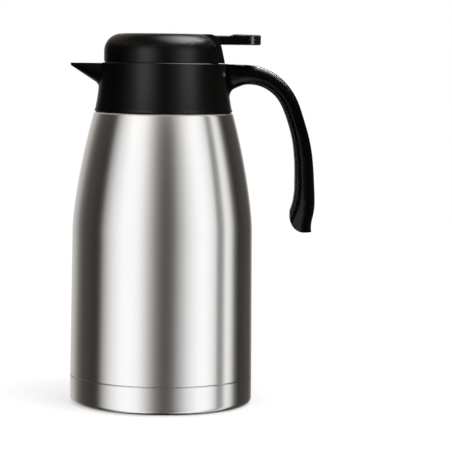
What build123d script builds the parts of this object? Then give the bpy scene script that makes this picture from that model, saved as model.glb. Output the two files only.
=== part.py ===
from build123d import *

import os
from math import cos, hypot, inf, radians, sin

# Insulated serving carafe: a double-walled steel bottle, a moulded collar with
# a pouring spout and a hook handle, and a screw-in lid whose thumb lever pushes
# a valve open.  Millimetres, +Z up, origin on the ground at the bottle's axis.
# The spout points along -X and the handle along +X.

# ---- Driving dimensions: bottle ---------------------------------------------
body_radius = 70.4          # outer shell just above the base seam
body_taper = 1.1            # radius lost between the base seam and the shoulder
shoulder_start = 133.0      # height where the shell starts to lean in
shoulder_top = 224.2        # height where the shell meets the collar
shoulder_lean = 15.9        # degrees from upright at the collar
shoulder_pull_low = 20.0    # how far the curve keeps its direction at the bottom
shoulder_pull_high = 30.0   # the same at the top
shoulder_cap_rise = 1.4     # rise of the covered shoulder between collar and neck
shoulder_cap_round = 2.5    # rounding where that shoulder turns inwards
shell_wall = 0.8            # outer shell sheet
flask_wall = 0.8            # inner flask sheet
vacuum_gap = 5.2            # vacuum between the two, at the side
neck_vacuum_gap = 1.4       # vacuum between the two, in the neck
neck_bore = 40.5            # radius of the mouth
neck_height = 21.8          # mouth rim above the top of the shoulder
neck_root_round = 1.5       # rounding where the neck leaves the shoulder
flask_floor = 16.0          # height of the inner floor
flask_corner = 12.0         # rounding between the inner floor and the wall

base_height = 21.0          # top edge of the base cup
base_wall = 0.8             # base cup sheet
base_corner = 4.6           # outer rounding of the base cup
seam_width = 1.0            # groove between the base cup and the shell
base_rib_inner = 30.0       # stiffening ring pressed up into the base: from here
base_rib_outer = 50.0       # ... to here
base_rib_rise = 1.5         # and this high
sheet_clearance = 0.15      # between nested sheets

bottom_disc_height = 5.0    # lower edge of the disc that closes the vacuum
bottom_disc_dish = 2.0      # how far its middle stands above its rim
bottom_disc_flange = 6.0    # height of its welded rim
bottom_disc_flat = 50.0     # radius of its flat middle
bottom_disc_slope = 8.0     # length over which it falls to its rim
pump_hole_radius = 2.2      # hole through which the space was pumped empty
seal_head_radius = 3.6
seal_head_height = 1.2
getter_radius = 6.0         # pellet that keeps the vacuum hard
getter_height = 3.0
getter_offset = 30.0        # from the axis

# ---- Driving dimensions: collar, spout, handle ------------------------------
collar_gap = 0.5            # between the shoulder edge and the collar
collar_height = 37.3
collar_wall = 2.8           # at the rim
collar_waist_flare = 0.7    # extra radius at waist height
collar_waist = 15.3         # height of the waist above the collar's lower edge
collar_foot_flare = 3.3     # extra radius at the lower edge
collar_foot_wall = 1.2      # flat lower edge, outside the tapered bore
collar_foot_round = 0.7
collar_lip_height = 2.0     # straight lip round the lower edge
collar_lip_slope = 0.5      # height in which it falls back to the waisted form
collar_rim_chamfer = 0.4
collar_overhang = 0.4       # shell radius beyond the collar's lower edge
ledge_height = 3.1          # ring inside the collar that the nut presses on
ledge_lift = 3.7            # its underside above the collar's lower edge
ledge_clearance = 1.5       # between the ledge and the neck

nut_wall = 2.95
nut_height = 7.0
nut_notches = 6
nut_notch_width = 5.0
nut_notch_depth = 2.4
thread_clearance = 0.15     # nut on the neck
nut_clearance = 0.2         # nut in the collar, and nut under the gasket
gasket_clearance = 0.05     # soft ring against its neighbours
gasket_drop = 1.0           # its top below the mouth rim

spout_reach = 71.5          # tip from the axis
spout_rim_drop = 0.5        # spout edge below the collar's rim
spout_root_offset = 40.0    # section plane inside the collar
spout_root_half_width = 23.5
spout_root_depth = 22.4
spout_tip_half_width = 3.2
spout_tip_depth = 2.0
spout_wall = 2.6            # at the root; it thins to the tip
spout_tip_wall = 1.1
spout_blend = 5.0           # rounding between spout and collar

handle_reach = 67.7         # outermost point of the handle from the collar's rim
handle_drop = 128.3         # toe below the collar's rim
handle_top_drop = 0.3       # top of the handle's root below the rim
handle_width = 25.0
handle_palm_round = 5.6     # rounding of its section on the side of the bottle
handle_palm_share = 0.35    # of the section's depth, where that is less
handle_back_round = 9.0     # and on the outer side, under the palm
handle_back_share = 0.6
handle_blend = 7.0          # rounding where it grows out of the collar
handle_post_turn = 115      # keeps the collar's seam away from the blend (degrees)
handle_seat_gap = 0.15      # between the handle's root and the collar
handle_wall = 2.6
handle_toe_inner_round = 11.0
handle_toe_outer_round = 2.0
handle_toe_taper = 0.2      # how far the toe's outer edge leans in at the end
handle_toe_length = 18.0    # stretch that the toe's outline rules
handle_cover_width = 13.0   # strip that closes the hollow grip
cover_clearance = 0.12
cover_slot_depth = 3.0      # how far the slot is cut past the grip's inner edge
handle_solid_root = 14.0    # how far the root stays solid for the screws
handle_solid_toe = 26.0     # how far the toe stays solid

screw_radius = 1.6
screw_length = 11.5
screw_head_radius = 3.1
screw_head_height = 1.7
screw_spacing = 11.0        # between the two screws, across the handle
screw_drop = 8.0            # below the collar's rim
screw_clearance = 0.1

# ---- Driving dimensions: lid ------------------------------------------------
deck_drop = 0.5             # lid deck below the collar's rim
deck_thickness = 3.5
deck_clearance = 0.6        # lid deck in the collar's bore
stopper_wall = 2.4
stopper_clearance = 1.9     # stopper tube in the neck, thread height included
stopper_length = 36.0       # from the deck's underside to the valve seat
seat_thickness = 2.6
seat_hole_radius = 13.5
window_half_width = 20.0    # pouring window towards the spout
window_height = 9.5
window_sill = 1.5           # above the mouth rim
boss_radius = 5.5           # guide for the valve stem
boss_above = 2.5
boss_below = 8.0
guide_rib_thickness = 1.8
guide_rib_height = 6.0
lid_gasket_height = 3.5
lid_gasket_drop = 3.5       # its top below the mouth rim
lid_gasket_bite = 0.5       # how deep it sits in its groove
lid_gasket_clearance = 0.3

dome_gap = 1.0              # open line between the collar and the dome
seat_inset = 0.6            # ring under the dome's edge, in from its outside
dome_radius = 46.0
dome_height = 21.3
dome_shoulder = 13.5
dome_wall = 2.4
upstand_height = 5.5        # ring on the deck that the dome snaps over
upstand_wall = 2.4
snap_clearance = 0.1
housing_half_width = 17.5   # raised back of the dome that guards the lever
housing_foot = 46.9         # its rear face at the bottom
housing_sink = 0.7          # how far it reaches below the dome's edge
housing_brow = 44.0         # its rear face under the lever
housing_brow_drop = 9.1     # below the dome's top
housing_top_lean = 2.5      # how far the rear face leans in above the brow
housing_top_round = 8.5
slot_half_width = 14.5      # slot in which the lever lies
slot_wall = 2.5
slot_sill = 2.5             # height of the slot's rear wall above the dome's edge
slot_front = 34.0           # front end of the slot from the axis

lever_half_width = 13.8
lever_pad_half_width = 17.0
lever_reach = 74.0          # rear end from the axis
lever_top_drop = 0.8        # below the dome's top
lever_depth = 6.9
lever_pad_rise = 1.1
lever_pad_fall = 0.4        # how far the pad slopes down to its rear end
lever_pad_length = 23.5     # raised thumb pad, from its foot to the rear end
lever_pad_slope = 3.0       # length in which it rises
lever_pad_foot_round = 3.0
lever_pad_top_round = 2.0
lever_flare_run = 31.0      # from where the bar begins to widen to the rear end
lever_flare_length = 21.0
lever_flare_round = 12.0
lever_corner = 8.0          # of the pad, seen from above
lever_edge = 1.3            # rounding of its upper rim
lever_foot_edge = 0.91      # and of its lower rim
lever_wall = 2.2
lever_nose = 4.6            # radius round the pivot
lever_nose_share = 0.9      # of that radius, so that its two roundings don't meet
rib_half_length = 2.0       # rib that presses the valve's cap
rib_round = 1.6
pivot_offset = 28.0         # pivot in front of the axis
pivot_drop = 6.3            # below the dome's top
pin_radius = 1.6
pin_running_fit = 0.06
pin_hold_fit = 0.02
pin_inset = 0.2             # pin ends inside the slot's walls

# ---- Driving dimensions: valve ----------------------------------------------
stem_radius = 3.0
disc_hub_radius = 7.5       # thick middle of the disc round the stem
stem_running_fit = 0.08
disc_radius = 17.0
disc_thickness = 3.0
disc_seat_gap = 0.3
seal_thickness = 2.2
seal_overhang = 0.4         # seal beyond the disc
valve_nut_across = 9.0
valve_nut_height = 3.0
stem_tail = 1.2             # stem below the nut
cap_radius = 8.0
cap_height = 4.2
cap_crown = 0.6
cap_bevel = 3.0             # width of the slope round the crown
cap_in_lever = 0.5          # its top above the lever's lower edge
cap_lever_gap = 0.3
stem_in_cap = 3.0
oring_wire = 1.5            # height of the stem's sealing ring
oring_depth = 1.1           # depth of its groove
oring_drop = 6.0            # its middle below the deck's top
spring_wire = 1.2
spring_turns = 3.5
spring_boss_clearance = 0.8

overcut = 1.0               # how far a cutting tool reaches past what it cuts
pick_slack = 0.01           # when edges are picked by their place

# ---- Worked-out sizes -------------------------------------------------------
neck_outer = neck_bore + flask_wall + neck_vacuum_gap + shell_wall
mouth_top = shoulder_top + neck_height
collar_bore = neck_outer + thread_clearance + nut_wall + nut_clearance
collar_rim_radius = collar_bore + collar_wall
collar_foot_radius = collar_rim_radius + collar_foot_flare
shoulder_top_radius = collar_foot_radius + collar_overhang
collar_bottom = shoulder_top + collar_gap
collar_top = collar_bottom + collar_height
tuck_radius = body_radius - base_wall - sheet_clearance
shell_start = base_height + seam_width
upper_radius = body_radius - body_taper
flask_radius = upper_radius - shell_wall - vacuum_gap
ledge_bottom = collar_bottom + ledge_lift
ledge_top = ledge_bottom + ledge_height
nut_top = ledge_top + nut_height
deck_top = collar_top - deck_drop
deck_bottom = deck_top - deck_thickness
stopper_radius = neck_bore - stopper_clearance
stopper_bottom = deck_bottom - stopper_length
dome_bottom = collar_top + dome_gap
dome_top = dome_bottom + dome_height
pivot_height = dome_top - pivot_drop
lever_top = dome_top - lever_top_drop
lever_bottom = lever_top - lever_depth
seal_top = stopper_bottom - disc_seat_gap
disc_top = seal_top - seal_thickness
disc_bottom = disc_top - disc_thickness
stem_bottom = disc_bottom - valve_nut_height - stem_tail
cap_top = lever_bottom + cap_in_lever
cap_bottom = cap_top - cap_height
spring_radius = boss_radius + spring_boss_clearance + spring_wire / 2


# ---- Helpers ----------------------------------------------------------------
def outline(*points):
    """Closed face in the upright plane through the axis, from (r, z) corners."""
    return Plane.XZ * make_face(Polyline(*points, close=True))


def rounded(face, radius, *corners):
    """Round the face's corners that lie nearest to the given (r, z) places."""
    picked = []
    for r, z in corners:
        picked.append(min(face.vertices(), key=lambda v: hypot(v.X - r, v.Z - z)))
    return fillet(picked, radius)


def turned(face):
    """Solid of revolution about the bottle's axis."""
    return revolve(face, Axis.Z)


def ring(inner, outer, bottom, top):
    """Plain ring about the bottle's axis."""
    return turned(outline((inner, bottom), (outer, bottom), (outer, top), (inner, top)))


def block(x_range, half_width, z_range):
    """Box between two x and two z values, centred on y = 0."""
    size_x, size_z = x_range[1] - x_range[0], z_range[1] - z_range[0]
    return Pos(x_range[0], 0, z_range[0]) * Box(
        size_x, 2 * half_width, size_z, align=(Align.MIN, Align.CENTER, Align.MIN))


def rod(start, direction, radius, length):
    """Round bar from a point along a direction."""
    return Plane(origin=start, z_dir=direction) * Cylinder(
        radius, length, align=(Align.CENTER, Align.CENTER, Align.MIN))


def edges_in(shape, x=(-inf, inf), y=(-inf, inf), z=(-inf, inf)):
    """Edges that lie wholly inside the given ranges."""
    found = ShapeList()
    for edge in shape.edges():
        box = edge.bounding_box()
        inside_x = x[0] <= box.min.X and box.max.X <= x[1]
        inside_y = y[0] <= box.min.Y and box.max.Y <= y[1]
        inside_z = z[0] <= box.min.Z and box.max.Z <= z[1]
        if inside_x and inside_y and inside_z:
            found.append(edge)
    return found


# ---- Bottle -----------------------------------------------------------------
def shoulder_curve(start, end):
    """Curve that starts upright along the wall and ends leaning at the collar."""
    lean = radians(shoulder_lean)
    low = (start[0] - body_taper * shoulder_pull_low / shoulder_start,
           start[1] + shoulder_pull_low)
    high = (end[0] + shoulder_pull_high * sin(lean), end[1] - shoulder_pull_high * cos(lean))
    return Bezier(start, low, high, end)


def vessel_face(foot, wall_foot, wall_top, shoulder_end, neck_radius, neck_top):
    """Half section of a bottle: foot line, wall, shoulder curve, cap and neck."""
    cap_end = (neck_radius, shoulder_end[1] + shoulder_cap_rise)
    lower = Polyline((0, foot[0][1]), *foot, wall_foot, wall_top)
    curve = shoulder_curve(wall_top, shoulder_end)
    upper = Polyline(shoulder_end, cap_end, (neck_radius, neck_top), (0, neck_top),
                     (0, foot[0][1]))
    return Plane.XZ * make_face([lower, curve, upper])


def outer_shell_solid(inset):
    """The shell's outer form, or the same form set in by a wall."""
    lean = radians(shoulder_lean)
    shoulder_end = (shoulder_top_radius - inset * cos(lean), shoulder_top - inset * sin(lean))
    step = shell_start + inset
    foot = [(tuck_radius - inset, bottom_disc_height), (tuck_radius - inset, step)]
    neck_radius = neck_outer - inset
    face = vessel_face(foot, (body_radius - inset, step), (upper_radius - inset, shoulder_start),
                       shoulder_end, neck_radius, mouth_top - flask_wall)
    face = rounded(face, shoulder_cap_round - inset, shoulder_end)
    face = rounded(face, neck_root_round + inset, (neck_radius, shoulder_end[1] + shoulder_cap_rise))
    return turned(face)


def make_outer_shell():
    """Brushed outer shell: tucks into the base cup and runs up to the neck."""
    return outer_shell_solid(0) - outer_shell_solid(shell_wall)


def inner_flask_solid(inset):
    """The flask's outer form, or the same form set in by its wall."""
    lean = radians(shoulder_lean)
    depth = shell_wall + vacuum_gap + inset
    shoulder_end = (shoulder_top_radius - depth * cos(lean), shoulder_top - depth * sin(lean))
    floor = flask_floor - flask_wall + inset
    radius = flask_radius - inset
    neck_radius = neck_bore + flask_wall - inset
    face = vessel_face([(radius / 2, floor)], (radius, floor), (radius, shoulder_start),
                       shoulder_end, neck_radius, mouth_top)
    face = rounded(face, flask_corner - inset, (radius, floor))
    face = rounded(face, neck_root_round + inset, (neck_radius, shoulder_end[1] + shoulder_cap_rise))
    return turned(face)


def make_inner_flask():
    """Deep-drawn inner flask with the mouth rim that closes the vacuum space."""
    rim = ring(neck_bore + flask_wall / 2, neck_outer, mouth_top - flask_wall, mouth_top)
    return inner_flask_solid(0) + rim - inner_flask_solid(flask_wall)


def make_base_cup():
    """Pressed base: rounded corner, flat foot and a stiffening ring."""
    rib_in, rib_out, rise = base_rib_inner, base_rib_outer, base_rib_rise
    under = [(0, 0), (rib_in, 0), (rib_in + rise, rise), (rib_out, rise),
             (rib_out + rise, 0), (body_radius, 0)]
    upper = [(r, z + base_wall) for r, z in reversed(under[:-1])]
    inner = body_radius - base_wall
    face = outline(*under, (body_radius, base_height), (inner, base_height),
                   (inner, base_wall), *upper)
    face = rounded(face, base_corner, (body_radius, 0))
    face = rounded(face, base_corner - base_wall, (inner, base_wall))
    return turned(face)


def make_vacuum_bottom():
    """Dished disc welded into the shell's lower end, with the pump-out hole."""
    outer = tuck_radius - shell_wall - sheet_clearance
    low, high = bottom_disc_height, bottom_disc_height + bottom_disc_dish
    slope_end = bottom_disc_flat + bottom_disc_slope
    under = [(pump_hole_radius, high), (bottom_disc_flat, high), (slope_end, low), (outer, low)]
    upper = [(r, z + shell_wall) for r, z in reversed(under[:-1])]
    flange = [(outer, low + bottom_disc_flange), (outer - shell_wall, low + bottom_disc_flange),
              (outer - shell_wall, low + shell_wall)]
    return turned(outline(*under, *flange, *upper))


def make_seal_plug():
    """Plug that closes the pump-out hole from below."""
    under = bottom_disc_height + bottom_disc_dish
    shank = pump_hole_radius - sheet_clearance / 3
    return turned(outline((0, under - seal_head_height), (seal_head_radius, under - seal_head_height),
                          (seal_head_radius, under), (shank, under),
                          (shank, under + shell_wall), (0, under + shell_wall)))


def make_getter():
    """Small getter pellet on the disc, inside the vacuum space."""
    floor = bottom_disc_height + bottom_disc_dish + shell_wall
    pellet = rod((getter_offset, 0, floor), (0, 0, 1), getter_radius, getter_height)
    return chamfer(pellet.faces().sort_by(Axis.Z)[-1].edges(), getter_height / 5)


def make_neck_nut():
    """Ring nut on the neck that clamps the collar's ledge to the shoulder."""
    nut = ring(neck_outer + thread_clearance, collar_bore - nut_clearance, ledge_top, nut_top)
    for index in range(nut_notches):
        notch = block((neck_outer, collar_bore), nut_notch_width / 2,
                      (nut_top - nut_notch_depth, nut_top))
        nut -= Rot(0, 0, index * 360 / nut_notches) * notch
    return nut


def make_mouth_gasket():
    """Soft ring between the neck and the collar: keeps the drink off the nut."""
    return ring(neck_outer + gasket_clearance, collar_bore - gasket_clearance,
                nut_top + nut_clearance, mouth_top - gasket_drop)


# ---- Collar and spout -------------------------------------------------------
def collar_form(post_height=0, grown=0):
    """Waisted outer form of the collar, filled, with a straight post on its rim."""
    foot = (collar_foot_radius + grown, collar_bottom)
    waist = (collar_rim_radius + collar_waist_flare + grown, collar_bottom + collar_waist)
    rim = (collar_rim_radius + grown, collar_top)
    upper = [rim, (0, collar_top)]
    if post_height:
        top = collar_top + post_height
        upper = [rim, (rim[0], top), (0, top)]
    edge = [ThreePointArc(foot, waist, rim), Polyline(*upper, (0, collar_bottom), foot)]
    return turned(Plane.XZ * make_face(edge))


def spout_section(distance, half_width, depth):
    """Half ellipse hanging from the rim's level, across the spout."""
    across = Plane(origin=(-distance, 0, collar_top), x_dir=(0, -1, 0), z_dir=(-1, 0, 0))
    lower_half = Rectangle(4 * half_width, 4 * depth, align=(Align.CENTER, Align.MAX))
    return (across * (Ellipse(half_width, depth) & lower_half)).face()


def spout_form(root_wall, tip_wall):
    """Spout tapering from its root inside the collar to its tip, less its walls."""
    root = spout_section(spout_root_offset, spout_root_half_width - root_wall,
                         spout_root_depth + spout_rim_drop - root_wall)
    tip = spout_section(spout_reach, spout_tip_half_width - tip_wall,
                        spout_tip_depth + spout_rim_drop - tip_wall)
    return loft([root, tip], ruled=True)


def handle_screw_places():
    """Start point of each handle screw, on the collar's bore."""
    height = collar_top - screw_drop
    for side in (-1, 1):
        yield (collar_bore, side * screw_spacing / 2, height)


def make_collar():
    """One moulding: collar, blended pouring spout, inner ledge and screw seats."""
    body = collar_form() + spout_form(0, 0)
    seam = edges_in(body, x=(-spout_reach + spout_blend, -spout_root_offset),
                    z=(collar_bottom + collar_foot_round, collar_top + pick_slack))
    seam = [e for e in seam if e.bounding_box().size.Y > spout_root_half_width]
    body = fillet(seam, spout_blend)
    tip = edges_in(body, x=(-spout_reach - pick_slack, -spout_reach + pick_slack))
    body = fillet([e for e in tip if e.bounding_box().size.Z > spout_tip_depth / 2],
                  spout_tip_depth / 2)
    lip_top = collar_bottom + collar_lip_height
    body += turned(outline((collar_bore, collar_bottom), (collar_foot_radius, collar_bottom),
                           (collar_foot_radius, lip_top),
                           (collar_bore, lip_top + collar_lip_slope)))
    foot = edges_in(body, z=(collar_bottom - pick_slack, collar_bottom + pick_slack))
    body = fillet(foot, collar_foot_round)
    lowered = block((-spout_reach - overcut, 0), spout_root_half_width + spout_blend,
                    (collar_top - spout_rim_drop, collar_top + overcut))
    body -= lowered - ring(0, collar_rim_radius, collar_bottom, collar_top + 2 * overcut)
    body -= turned(outline((collar_rim_radius - collar_rim_chamfer, collar_top),
                           (collar_rim_radius, collar_top - collar_rim_chamfer),
                           (collar_rim_radius, collar_top)))

    foot_bore = collar_foot_radius - collar_foot_wall
    body -= turned(outline((0, collar_bottom - overcut), (foot_bore, collar_bottom - overcut),
                           (collar_bore, ledge_bottom), (0, ledge_bottom)))
    body -= ring(0, neck_outer + ledge_clearance, ledge_bottom - overcut,
                 ledge_top + overcut)
    body -= ring(0, collar_bore, ledge_top, collar_top + overcut)
    body -= spout_form(spout_wall, spout_tip_wall)

    for x, y, z in handle_screw_places():
        body -= rod((x - overcut, y, z), (1, 0, 0), screw_head_radius + screw_clearance,
                    overcut + screw_head_height)
        body -= rod((x, y, z), (1, 0, 0), screw_radius + screw_clearance, 2 * collar_wall)
    return body


# ---- Handle -----------------------------------------------------------------
# Each station: outer edge as shares of the reach and the drop, depth of the
# section there, and the direction in which its outer edge faces (degrees).
handle_stations = [
    (-0.10, 0.000, 16.0, 90),
    (0.16, 0.001, 15.9, 89),
    (0.32, 0.008, 14.6, 81),
    (0.465, 0.034, 13.9, 66.5),
    (0.613, 0.087, 13.3, 46),
    (0.728, 0.157, 12.9, 28.5),
    (0.858, 0.317, 12.5, 18),
    (0.919, 0.424, 12.9, 11.5),
    (0.969, 0.567, 14.1, 8),
    (0.994, 0.750, 15.4, 1.5),
    (0.991, 0.880, 18.5, -2),
    (0.982, 1.030, 18.6, -5),
]


def handle_plane(station):
    """Section plane of a station: x faces outwards, the origin is mid-section."""
    reach, drop, depth, facing = station
    out_x, out_z = cos(radians(facing)), sin(radians(facing))
    edge_x = collar_rim_radius + reach * handle_reach
    edge_z = collar_top - handle_top_drop - drop * (handle_drop - handle_top_drop)
    centre = (edge_x - out_x * depth / 2, 0, edge_z - out_z * depth / 2)
    return Plane(origin=centre, x_dir=(out_x, 0, out_z), z_dir=(out_z, 0, -out_x))


def handle_section(depth, inset):
    """Section of the grip, rounder on its outer side, which faces +x."""
    section = Rectangle(depth - 2 * inset, handle_width - 2 * inset)
    outer = section.vertices().group_by(Axis.X)[-1]
    section = fillet(outer, min(handle_back_round, handle_back_share * depth) - inset)
    inner = section.vertices().group_by(Axis.X)[0]
    return fillet(inner, min(handle_palm_round, handle_palm_share * depth) - inset)


def handle_form(inset):
    """Hook handle through its stations, at full size or set in by a wall."""
    sections = []
    for station in handle_stations:
        section = handle_section(station[2], inset)
        sections.append((handle_plane(station) * section).face())
    return loft(sections)


def cover_form(clearance, outwards):
    """Strip along the inside of the grip, as thick as the handle's wall."""
    sections = []
    for station in handle_stations:
        thickness = handle_wall + clearance + outwards
        strip = Rectangle(thickness, handle_cover_width + 2 * clearance)
        offset = -station[2] / 2 - outwards + thickness / 2
        sections.append((handle_plane(station) * Pos(offset, 0) * strip).face())
    return loft(sections)


def toe_tool():
    """Everything below the toe's rounded end, to be cut away."""
    toe = collar_top - handle_drop
    reach, _, depth, _ = handle_stations[-2]
    outer = collar_rim_radius + reach * handle_reach
    inner = outer - depth
    tip = outer - handle_toe_taper
    shank = toe + handle_toe_length
    above = shank + handle_toe_length
    spare = handle_width
    keep = outline((inner, toe), (tip, toe), (outer + handle_toe_taper, shank),
                   (outer + spare, above), (inner - spare, above), (inner, shank))
    keep = rounded(keep, handle_toe_inner_round, (inner, toe))
    keep = rounded(keep, handle_toe_outer_round, (tip, toe))
    around = block((inner - spare, outer + spare), handle_width, (toe - spare, shank))
    return around - extrude(keep, handle_width, both=True)


def make_handle_solid():
    """Handle grown out of the collar with a blend, cut to the collar's wall."""
    post_height = 3 * handle_blend
    post = collar_form(post_height).rotate(Axis.Z, handle_post_turn)
    joined = post + handle_form(0)
    root = edges_in(joined, x=(collar_bore - handle_blend, collar_foot_radius),
                    y=(-handle_width, handle_width), z=(ledge_top, collar_top + handle_blend))
    joined = fillet(root, handle_blend)
    grip = joined - collar_form(post_height, handle_seat_gap)
    grip -= ring(0, handle_reach, collar_top - handle_top_drop, collar_top + post_height + overcut)
    return grip - toe_tool()


def between_ends(shape, margin):
    """The stretch of a form between the handle's solid root and its solid toe."""
    near = collar_rim_radius + handle_solid_root - margin
    toe = collar_top - handle_drop
    return shape & block((near, collar_rim_radius + 2 * handle_reach), handle_width,
                         (toe + handle_solid_toe - margin, collar_top + handle_blend))


def make_handle_shell():
    """Hollow grip with a slot along its inside, and pilot holes in its root."""
    grip = make_handle_solid()
    grip -= between_ends(handle_form(handle_wall), 0)
    grip -= between_ends(cover_form(cover_clearance, cover_slot_depth), cover_clearance)
    for x, y, z in handle_screw_places():
        grip -= rod((x, y, z), (1, 0, 0), screw_radius, screw_length)
    return grip


def make_handle_cover():
    """Strip that snaps into the slot and closes the grip."""
    return between_ends(cover_form(0, 0), 0)


def make_handle_screws():
    """Two screws from inside the collar into the handle's root."""
    screws = []
    for x, y, z in handle_screw_places():
        head = rod((x, y, z), (1, 0, 0), screw_head_radius, screw_head_height)
        shank = rod((x, y, z), (1, 0, 0), screw_radius - screw_clearance / 2,
                    screw_length - screw_clearance)
        recess = rod((x, y, z), (1, 0, 0), screw_head_radius / 2, screw_head_height / 2)
        screws.append(head + shank - recess)
    return Compound(children=screws)


# ---- Lid --------------------------------------------------------------------
def make_stopper_body():
    """Stopper tube, valve seat, pouring window, deck and stem guide."""
    bore = stopper_radius - stopper_wall
    body = ring(bore, stopper_radius, stopper_bottom, deck_bottom)
    body += ring(seat_hole_radius, stopper_radius, stopper_bottom, stopper_bottom + seat_thickness)
    body += ring(0, collar_bore - deck_clearance, deck_bottom, deck_top)
    upstand = dome_radius - dome_wall - snap_clearance
    body += ring(upstand - upstand_wall, upstand, deck_top, deck_top + upstand_height)
    body += ring(upstand, dome_radius - seat_inset, deck_top, dome_bottom)
    body += ring(0, boss_radius, deck_bottom - boss_below, deck_top + boss_above)
    for angle in (0, 90, 270):
        rib = block((0, bore + stopper_wall / 2), guide_rib_thickness / 2,
                    (deck_bottom - guide_rib_height, deck_bottom))
        body += Rot(0, 0, angle) * rib
    body -= ring(0, stem_radius + stem_running_fit, stopper_bottom, dome_top)

    sill = mouth_top + window_sill
    window = block((-stopper_radius - overcut, -stopper_radius / 2), window_half_width,
                   (sill, sill + window_height))
    body -= fillet(window.edges().filter_by(Axis.X), window_height / 4)
    groove_top = mouth_top - lid_gasket_drop
    body -= ring(stopper_radius - lid_gasket_bite, stopper_radius + overcut,
                 groove_top - lid_gasket_height, groove_top)
    slot_gap = block((upstand / 2, housing_foot + overcut), housing_half_width + snap_clearance,
                     (deck_top, deck_top + upstand_height + overcut))
    return body - slot_gap


def make_stopper_gasket():
    """Silicone ring in the stopper's groove, under the mouth rim."""
    top = mouth_top - lid_gasket_drop
    inner = stopper_radius - lid_gasket_bite
    outer = neck_bore - lid_gasket_clearance
    face = outline((inner, top - lid_gasket_height), (outer, top - lid_gasket_height),
                   (outer, top), (inner, top))
    corners = [v for v in face.vertices() if v.X > outer - pick_slack]
    return turned(chamfer(corners, lid_gasket_height / 4))


def dome_form(inset):
    """Flat-topped dome, at full size or set in by its wall."""
    radius, top = dome_radius - inset, dome_top - inset
    face = outline((0, dome_bottom), (radius, dome_bottom), (radius, top), (0, top))
    return turned(rounded(face, dome_shoulder - inset, (radius, top)))


def housing_form():
    """Raised back of the dome on both sides of the lever, leaning outwards."""
    brow = dome_top - housing_brow_drop
    foot = dome_bottom - housing_sink
    back_top = housing_brow - housing_top_lean
    side = outline((0, foot), (housing_foot, foot), (housing_brow, brow),
                   (back_top, dome_top), (0, dome_top))
    side = rounded(side, housing_top_round, (back_top, dome_top))
    return extrude(side, housing_half_width, both=True)


def make_lid_dome():
    """Dome with its lever slot: roof, two slot walls, front wall and rear sill."""
    trough_half = slot_half_width + slot_wall
    outer = dome_form(0) + housing_form()
    hollow = dome_form(dome_wall)
    hollow = hollow + ring(0, dome_radius - dome_wall, dome_bottom - overcut, dome_bottom)
    trough = block((-slot_front - slot_wall, housing_foot), trough_half,
                   (dome_bottom - overcut, dome_top))
    body = outer - (hollow - trough)
    feet = block((-slot_front - slot_wall, dome_radius - dome_shoulder), trough_half,
                 (deck_top, dome_bottom))
    body += feet
    slot = block((-slot_front, dome_radius - slot_wall), slot_half_width,
                 (deck_top - overcut, dome_top + overcut))
    mouth = block((0, housing_foot + overcut), slot_half_width,
                  (dome_bottom + slot_sill, dome_top + overcut))
    body = body - slot - mouth
    pivot = rod((-pivot_offset, -trough_half - overcut, pivot_height), (0, 1, 0),
                pin_radius + pin_hold_fit, 2 * (trough_half + overcut))
    return body - pivot


def lever_side():
    """Side outline: round nose at the pivot, level bar, raised thumb pad."""
    front = -pivot_offset - lever_nose
    nose_bottom = pivot_height - lever_nose
    pad_top = lever_top + lever_pad_rise
    pad_foot = lever_reach - lever_pad_length
    pad_start = (pad_foot, lever_top)
    pad_edge = (pad_foot + lever_pad_slope, pad_top)
    heel = (lever_nose - pivot_offset, lever_bottom)
    rear = lever_reach + overcut
    face = outline((front, nose_bottom), (front, lever_top), pad_start, pad_edge,
                   (rear, pad_top - lever_pad_fall), (rear, lever_bottom),
                   heel, (-pivot_offset + lever_nose / 2, nose_bottom))
    face = rounded(face, lever_nose_share * lever_nose, (front, lever_top), (front, nose_bottom))
    face = rounded(face, lever_pad_foot_round, pad_start)
    return rounded(face, lever_pad_top_round, pad_edge)


def lever_plan():
    """Plan outline: straight bar that widens into the pad."""
    front = -pivot_offset - lever_nose - overcut
    flare_start = lever_reach - lever_flare_run
    flare_end = flare_start + lever_flare_length
    points = [(front, -lever_half_width), (flare_start, -lever_half_width),
              (flare_end, -lever_pad_half_width), (lever_reach, -lever_pad_half_width)]
    points += [(x, -y) for x, y in reversed(points)]
    face = make_face(Polyline(*points, close=True))
    flare = [v for v in face.vertices() if front + pick_slack < v.X < lever_reach - pick_slack]
    face = fillet(flare, lever_flare_round)
    return fillet([v for v in face.vertices() if v.X > lever_reach - pick_slack], lever_corner)


def on_lever_rim(edge):
    """Whether an edge runs along the lever's sides or rear end."""
    return abs(edge.center().Y) > lever_half_width / 2 or edge.center().X > lever_reach - overcut


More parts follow.
